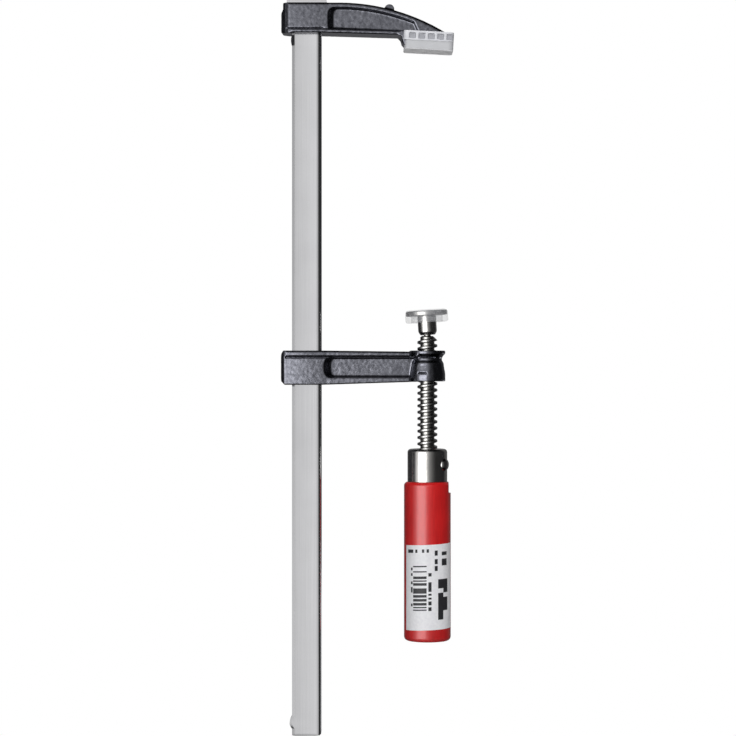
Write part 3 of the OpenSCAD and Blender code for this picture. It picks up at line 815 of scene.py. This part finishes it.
nickel = brightNickel()
pad = {
    "lean": 3.5,
    "neck": 4.4,
    "neckLow": -3.5,
    "lip": 3.45,
    "lipBore": 2.2,
    "crimp": 1.5,
    "socket": 2.75,
    "plate": 9.7,
    "plateLow": 5.7,
    "plateHigh": 7.95,
    "cap": 10.15,
    "capLow": 2.4,
    "capHigh": 8.45,
    "capLip": 7.55,
    "capRound": 1.5,
    "capGap": 0.05,
}
padSwing = Matrix.Translation((0, 0, screw["ballZ"])) @ Matrix.Rotation(math.radians(-pad["lean"]), 4, "Y")


def onPad(name, outline):  # turned about the ball's axis, then leant with the pad
    bm = turned(outline)
    bm.transform(padSwing)
    return meshObject(name, bm)


def pressurePad():
    low, high = pad["neckLow"], pad["plateHigh"]
    socket, neck, plateEdge, crimpHigh = pad["socket"], pad["neck"], pad["plate"], low + pad["crimp"]
    return onPad("pressurePad", [
        (0, socket, 0), (socket, socket, 0.6), (socket, crimpHigh, 0), (pad["lipBore"], low, 0.2),
        (pad["lip"], low, 0.3), (neck, crimpHigh, 0.6), (neck, pad["plateLow"], 0.3),
        (plateEdge, pad["plateLow"], 0.4), (plateEdge, high, 0.5), (0, high, 0)])


def padCapPiece():
    inner = pad["plate"] + pad["capGap"]
    roof, ledge = pad["plateHigh"] + pad["capGap"], pad["plateLow"] - pad["capGap"]
    return onPad("padCap", [
        (0, roof, 0), (inner, roof, 0.4), (inner, ledge, 0.2), (pad["capLip"], ledge, 0.2),
        (pad["capLip"], pad["capLow"], 0.3), (pad["cap"], pad["capLow"], 1),
        (pad["cap"], pad["capHigh"], pad["capRound"]), (0, pad["capHigh"], 0)])


dress(pressurePad(), nickel, "pad", "pressure_pad")


# The pad's cap is still clear: the bright plate fills it, under a thin skin of reflections

def clearPlastic():
    material, tree, place = startMaterial("clearPlastic", {"Roughness": 0.2, "Alpha": 0.19})
    cloud = addNode(tree, "TexNoise", {"Scale": perMm(4), "Detail": 2}, {"Vector": place})
    return finishMaterial(material, cloud, [(0.3, "#c4c5c9"), (0.7, "#dcdde0")], relief=(cloud, 0.2, 0.05))


dress(padCapPiece(), clearPlastic(), "pad", "pad_cap")


# Spring wire, dull grey

def springWire():
    material, tree, place = startMaterial("springWire", {"Metallic": 1})
    scale = addNode(tree, "TexNoise", {"Scale": perMm(0.8), "Detail": 2}, {"Vector": place})
    return finishMaterial(material, scale, [(0.3, "#6f6f72"), (0.7, "#8c8c8f")], (scale, 0.35, 0.5))


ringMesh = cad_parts["retaining_ring"].data
ringMesh.materials.clear()
ringMesh.materials.append(springWire())

ferrule = {
    "topRound": 1.6,
    "wall": 0.8,
    "bore": 4.95,
    "mouthRound": 0.25,
}
ferruleLow, ferruleHigh = nodeBox("ferrule")


def ferrulePiece():
    r, low, high, wall = ferruleHigh.x, ferruleLow.z, ferruleHigh.z, ferrule["wall"]
    bore = ferrule["bore"]
    bm = turned([(bore, high, 0.2), (r, high, ferrule["topRound"]), (r, low, ferrule["mouthRound"]),
                 (r - wall, low, 0.2), (r - wall, high - wall, 0.6), (bore, high - wall, 0), (bore, high, 0)])
    return meshObject("ferrule", bm)


dress(ferrulePiece(), nickel, "screw", "ferrule")

pin = {
    "z": -195.2,
    "shank": 2,
    "head": 3.3,
    "proud": 1.4,
    "turn": 62,  # degrees from the front towards the right
    "farShort": 0.6,  # its far end stays this far inside the ferrule
    "seat": 0.2,  # the head's rim is sunk this far
    "rimTall": 0.5,
    "dome": (0.62, 0.25, 0.9),  # its shoulder: share of the head's radius, drop from the top and rounding
}


def crossPin():
    r = ferruleHigh.x
    far, top = -r + pin["farShort"], r + pin["proud"]
    reach = math.sqrt(r ** 2 - pin["head"] ** 2) - pin["seat"]
    domeShare, domeDrop, domeRound = pin["dome"]
    shank, head = pin["shank"], pin["head"]
    bm = turned([(0, far, 0), (shank, far, 0.3), (shank, reach, 0), (head, reach, 0),
                 (head, reach + pin["rimTall"], 0.4), (head * domeShare, top - domeDrop, domeRound),
                 (0, top, 0)], 48)
    around = Matrix.Rotation(math.radians(pin["turn"] - 90), 4, "Z")
    bm.transform(Matrix.Translation((0, 0, pin["z"])) @ around @ Matrix.Rotation(math.pi / 2, 4, "Y"))
    return meshObject("crossPin", bm)


dress(crossPin(), nickel, "screw", "cross_pin")


# Turned beech under red lacquer: deep red with a soft long highlight that the grain breaks up

def redLacquerBeech():
    material, tree, place = startMaterial("redLacquerBeech", {
        "Coat Weight": 1, "Coat Roughness": 0.25, "Coat IOR": 1.7, "Specular IOR Level": 0.3})
    along = addNode(tree, "Mapping", {"Scale": (perMm(0.7), perMm(0.7), perMm(9))}, {"Vector": place})
    grain = addNode(tree, "TexNoise", {"Scale": 1, "Detail": 4, "Roughness": 0.6}, {"Vector": along})
    blotch = addNode(tree, "TexNoise", {"Scale": perMm(14), "Detail": 3}, {"Vector": place})
    mixed = addNode(tree, "Math", {"operation": "ADD"}, {0: grain, 1: blotch})
    half = addNode(tree, "Math", {"operation": "MULTIPLY", 1: 0.5}, {0: mixed})
    return finishMaterial(material, half, [(0.35, "#b21416"), (0.65, "#cc1c1d")], (grain, 0.4, 0.55),
                          (grain, 0.25, 0.03))


handle = {
    "shoulder": 10,
    "tenon": 8.4,
    "endRound": 2,
    "nickDeep": 1.1,  # a flat nick on the right of its upper end
    "nickTall": 5,
    "nickSlope": 0.3,
    "shoulderGap": 0.05,
    "tenonGap": 0.1,
}
handleLow, handleHigh = nodeBox("handle")


def handlePiece():
    r, low = handleHigh.y, handleLow.z
    shoulderZ = ferruleLow.z - handle["shoulderGap"]
    chamfer = r - handle["shoulder"]
    tenonHigh = ferruleHigh.z - ferrule["wall"] - handle["tenonGap"]
    tenon = handle["tenon"]
    bm = turned([(0, tenonHigh, 0), (tenon, tenonHigh, 0.4), (tenon, shoulderZ, 0),
                 (handle["shoulder"], shoulderZ, 0.3), (r, shoulderZ - chamfer, 0.5),
                 (r, low, handle["endRound"]), (0, low, 0)], 128)
    step = shoulderZ - handle["nickTall"]
    for level in (step, step - handle["nickSlope"]):
        cutAlong(bm, (0, 0, level), (0, 0, 1))
    for vert in bm.verts:
        if vert.co.z > step - touch:
            vert.co.x = min(vert.co.x, r - handle["nickDeep"])
    return meshObject("handle", bm)


dress(handlePiece(), redLacquerBeech(), "screw", "handle")


# Coated white paper with black print that stands for no words

label = {
    "lift": 0.03,
    "thick": 0.15,
    "wrap": 138,  # degrees
    "middle": 5,  # degrees from the front, towards the right
    "crook": 1.1,  # mm that the right side is stuck on higher
    "steps": 40,
    # printed blocks in mm from the lower left corner: left, right, low, high, cell across and up, ink share
    "print": [
        (5, 11.7, 8.6, 31.5, 7, 0.62, 0.5),
        (12.5, 14, 9, 26.8, 1.6, 0.9, 0.6),
        (3.7, 4.7, 10, 30, 1.2, 1.3, 0.35),
        (1.8, 13.6, 36.4, 38, 1.1, 1.7, 0.6),
        (15.5, 17, 27.6, 38, 1.6, 0.8, 0.55),
        (19.2, 22.4, 29.9, 36.4, 3.3, 1.6, 0.7),
        (17.2, 23, 4.6, 23.6, 2.9, 2.1, 0.75),
    ],
    "cellShift": 17,  # cells between the places where two blocks read their chances, so that none repeats
}
labelLow, labelHigh = nodeBox("label")


def printedPaper():
    material, tree, place = startMaterial("printedPaper", {"Roughness": 0.45, "Specular IOR Level": 0.4})
    around = math.radians(label["wrap"]) * handleHigh.y
    size = (around, labelHigh.z - labelLow.z, 1)
    uv = addNode(tree, "UVMap")
    flat = addNode(tree, "VectorMath", {"operation": "MULTIPLY", 1: size}, {0: uv})
    axes = addNode(tree, "SeparateXYZ", {}, {0: flat})
    ink = None
    for number, (x0, x1, y0, y1, cellX, cellY, share) in enumerate(label["print"]):
        inside = None
        for axis, low, high in ((0, x0, x1), (1, y0, y1)):
            distance = addNode(tree, "Math", {"operation": "SUBTRACT", 1: (low + high) / 2},
                               {0: axes.outputs[axis]})
            near = addNode(tree, "Math", {"operation": "COMPARE", 1: 0, 2: (high - low) / 2}, {0: distance})
            both = {0: near, 1: inside} if inside else {0: near}
            inside = addNode(tree, "Math", {"operation": "MULTIPLY", 1: 1}, both)
        start = (x0 - label["cellShift"] * number * cellX, y0, 0)
        corner = addNode(tree, "VectorMath", {"operation": "SUBTRACT", 1: start}, {0: flat})
        cells = addNode(tree, "VectorMath", {"operation": "DIVIDE", 1: (cellX, cellY, 1)}, {0: corner})
        whole = addNode(tree, "VectorMath", {"operation": "FLOOR"}, {0: cells})
        chance = addNode(tree, "TexWhiteNoise", {"noise_dimensions": "2D"}, {"Vector": whole})
        marked = addNode(tree, "Math", {"operation": "LESS_THAN", 1: share}, {0: chance.outputs["Value"]})
        mark = addNode(tree, "Math", {"operation": "MULTIPLY"}, {0: marked, 1: inside})
        sources = {0: mark, 1: ink} if ink else {0: mark}
        ink = addNode(tree, "Math", {"operation": "MAXIMUM", 1: 0}, sources)
    fibre = addNode(tree, "TexNoise", {"Scale": perMm(1.2), "Detail": 3}, {"Vector": place})
    paper = addNode(tree, "ValToRGB", {"stops": [(0.3, "#dcdce0"), (0.7, "#e6e6e8")]}, {0: fibre})
    colour = addNode(tree, "Mix", {"data_type": "RGBA", 7: linearColour("#2b2b2e")}, {0: ink, 6: paper})
    bump = addNode(tree, "Bump", {"Strength": 0.1, "Distance": 0.02 * mm}, {"Height": fibre})
    feed(tree, tree.nodes["Principled BSDF"], {"Base Color": colour.outputs[2], "Normal": bump})
    return material


def labelPiece():
    bm = bmesh.new()
    r = handleHigh.y + label["lift"]
    first = math.radians(label["middle"] - label["wrap"] / 2 - 90)
    wrap = math.radians(label["wrap"])
    start = Vector((r * math.cos(first), r * math.sin(first), 0))
    ends = [bm.verts.new(start + Vector((0, 0, z))) for z in (labelLow.z, labelHigh.z)]
    edge = bm.edges.new(ends)
    bmesh.ops.spin(bm, geom=ends + [edge], cent=(0, 0, 0), axis=(0, 0, 1), angle=wrap, steps=label["steps"],
                   use_merge=False)
    inward = [f for f in bm.faces if f.normal.dot(f.calc_center_median() * Vector((1, 1, 0))) < 0]
    bmesh.ops.reverse_faces(bm, faces=inward)
    bmesh.ops.solidify(bm, geom=bm.faces[:], thickness=-label["thick"])
    sheet = bm.loops.layers.uv.new("sheet")

    def across(p):  # share of the label's width
        return (math.atan2(p.y, p.x) - first) % (2 * math.pi) / wrap

    for face in bm.faces:
        for loop in face.loops:
            p = loop.vert.co
            loop[sheet].uv = (across(p), (p.z - labelLow.z) / (labelHigh.z - labelLow.z))
    for vert in bm.verts:
        vert.co.z += label["crook"] * (across(vert.co) - 0.5)
    return meshObject("label", bm)


dress(labelPiece(), printedPaper(), "screw", "label")


# Studio: a white sweep, a tent of greys that only metal mirrors, a soft box at the front left that is flagged
# off the bar, lamps for what is dull, and three cards behind that each light one piece

studio = {
    "middle": (-28, 0, -150),
    "fill": 0.06,
    "floorZ": -445,
    "floorRadius": 700,
    "floorFade": (380, 679),  # between these distances the floor turns to plain white
    "floorGlow": 0.36,  # seen by the camera only, so that the floor is nearly white round the shadow
    "tentRadius": 3000,
    # brightness seen in reflections, by degrees from the camera's side towards the right, then by degrees up
    "tent": [(-180, "#7c7c7e"), (-150, "#505052"), (-136, "#343436"), (-90, "#303032"), (-80, "#3c3c3e"),
             (-66, "#e4e4e4"), (-50, "#ffffff"), (-6, "#ffffff"), (-3, "#e8e8e8"), (0, "#d6d6d6"),
             (5, "#b0b0b0"), (10, "#909090"), (20, "#787878"), (30, "#595959"), (46, "#303030"),
             (110, "#28282a"), (126, "#5a5a5a"), (150, "#5a5a5a"), (168, "#7c7c7e"), (180, "#7c7c7e")],
    "tentRise": [(-90, "#303030"), (-48, "#3c3c3c"), (-32, "#ffffff"), (30, "#ffffff"), (46, "#4c4c4c"),
                 (90, "#404040")],
    # degrees from the front, degrees up, distance, width, height in mm, watts, and whether gloss mirrors it
    # or it only lights what is dull
    "lamps": {
        "softBox": (-30, -8, 900, 727, 640, 3.5, True),
        "frontLight": (0, 20, 850, 500, 500, 6, False),
        "topLight": (0, 80, 900, 600, 600, 3.8, False),
        "backFill": (195, 25, 1100, 700, 700, 4, False),
        "backCard": (135, -22, 900, 800, 330, 0.66, True),
        "slidingCard": (129, -14.5, 900, 345, 175, 0.34, True),
        "fixedCard": (132, -7, 900, 480, 190, 0.65, True),
    },
}


def rayMask(tree):  # 1 for what the camera sees straight, in metal or through plastic
    path = addNode(tree, "LightPath")
    seen = addNode(tree, "Math", {"operation": "ADD"},
                   {0: path.outputs["Is Camera Ray"], 1: path.outputs["Is Glossy Ray"]})
    return addNode(tree, "Math", {"operation": "ADD", "use_clamp": True},
                   {0: seen, 1: path.outputs["Is Transmission Ray"]})


def studioWorld():
    world = bpy.data.worlds.new("studio")
    scene.world = world
    world.use_nodes = True
    tree = world.node_tree
    sky = tree.nodes["Background"]
    sky.inputs["Color"].default_value = (1, 1, 1, 1)
    seen = rayMask(tree)
    strength = addNode(tree, "MapRange", {"To Min": studio["fill"], "To Max": 1}, {"Value": seen})
    feed(tree, sky, {"Strength": strength})


def studioFloor():
    bm = bmesh.new()
    bmesh.ops.create_circle(bm, cap_ends=True, segments=96, radius=studio["floorRadius"],
                            matrix=Matrix.Translation((studio["middle"][0], 0, studio["floorZ"])))
    floor = stageObject("floor", bm)
    material, tree, place = startMaterial("paleFloor", {
        "Base Color": linearColour("#f4f4f4"), "Roughness": 0.9, "Specular IOR Level": 0.1,
        "Emission Color": (1, 1, 1, 1)})
    surface = tree.nodes["Principled BSDF"]
    centre = [c * mm for c in (studio["middle"][0], 0, studio["floorZ"])]
    away = addNode(tree, "VectorMath", {"operation": "DISTANCE", 1: centre}, {0: place})
    fadeStart, fadeEnd = studio["floorFade"]
    fade = addNode(tree, "MapRange", {"interpolation_type": "SMOOTHSTEP", "From Min": fadeStart * mm,
                                      "From Max": fadeEnd * mm}, {"Value": away.outputs["Value"]})
    seen = rayMask(tree)
    pale = addNode(tree, "Math", {"operation": "MULTIPLY", 1: studio["floorGlow"]}, {0: seen})
    feed(tree, surface, {"Emission Strength": pale})
    glow = addNode(tree, "Emission", {}, {"Strength": seen})
    mix = addNode(tree, "MixShader", {}, {0: fade, 1: surface, 2: glow})
    feed(tree, tree.nodes["Material Output"], {"Surface": mix})
    material.cycles.emission_sampling = "NONE"
    floor.data.materials.append(material)
    floor.visible_glossy = False
    return floor


def studioTent():  # only reflections see it
    bm = bmesh.new()
    bmesh.ops.create_uvsphere(bm, u_segments=64, v_segments=32, radius=studio["tentRadius"])
    tent = stageObject("tent", bm)
    tent.visible_camera = tent.visible_diffuse = tent.visible_transmission = tent.visible_shadow = False
    tent.visible_volume_scatter = False
    material = bpy.data.materials.new("tentCloth")
    material.use_nodes = True
    tree = material.node_tree
    tree.nodes.clear()
    place = addNode(tree, "TexCoord").outputs["Object"]
    aim = addNode(tree, "VectorMath", {"operation": "NORMALIZE"}, {0: place})
    axes = addNode(tree, "SeparateXYZ", {}, {0: aim})
    front = addNode(tree, "Math", {"operation": "MULTIPLY", 1: -1}, {0: axes.outputs["Y"]})
    turn = addNode(tree, "Math", {"operation": "ARCTAN2"}, {0: axes.outputs["X"], 1: front})
    around = addNode(tree, "MapRange", {"From Min": -math.pi, "From Max": math.pi}, {"Value": turn})
    shade = addNode(tree, "ValToRGB", {"stops": [(d / 360 + 0.5, c) for d, c in studio["tent"]]},
                    {0: around})
    lift = addNode(tree, "Math", {"operation": "ARCSINE"}, {0: axes.outputs["Z"]})
    upward = addNode(tree, "MapRange", {"From Min": -math.pi / 2, "From Max": math.pi / 2}, {"Value": lift})
    level = addNode(tree, "ValToRGB", {"stops": [(d / 180 + 0.5, c) for d, c in studio["tentRise"]]},
                    {0: upward})
    glow = addNode(tree, "Emission", {}, {"Color": shade, "Strength": level})
    addNode(tree, "OutputMaterial", {}, {"Surface": glow})
    material.cycles.emission_sampling = "NONE"
    tent.data.materials.append(material)
    return tent


def studioLamp(name, turn, lift, distance, width, height, watts, mirrored):
    data = bpy.data.lights.new(name, "AREA")
    data.shape = "RECTANGLE"
    data.size, data.size_y = width * mm, height * mm
    data.energy = watts
    lamp = bpy.data.objects.new(name, data)
    turn, lift = math.radians(turn), math.radians(lift)
    away = Vector((math.sin(turn) * math.cos(lift), -math.cos(turn) * math.cos(lift), math.sin(lift)))
    lamp.location = (Vector(studio["middle"]) + away * distance) * mm
    lamp.rotation_euler = away.to_track_quat("Z", "Y").to_euler()
    lamp.visible_camera = False
    lamp.visible_glossy, lamp.visible_diffuse = mirrored, not mirrored
    scene.collection.objects.link(lamp)
    return lamp


def flagged(lamp, piece, state):  # keeps a lamp off one piece or off all others, as flags on stands would
    flag = bpy.data.collections.new(lamp.name + "Flag")
    flag.objects.link(piece)
    flag.collection_objects[0].light_linking.link_state = state
    lamp.light_linking.receiver_collection = flag


studioWorld()
studioFloor()
studioTent()
lamps = {name: studioLamp(name, *sizes) for name, sizes in studio["lamps"].items()}
flagged(lamps["softBox"], barPiece, "EXCLUDE")
for name, piece in (("backCard", barPiece), ("slidingCard", slidingPiece), ("fixedCard", fixedPiece)):
    flagged(lamps[name], piece, "INCLUDE")
print("studio lit")
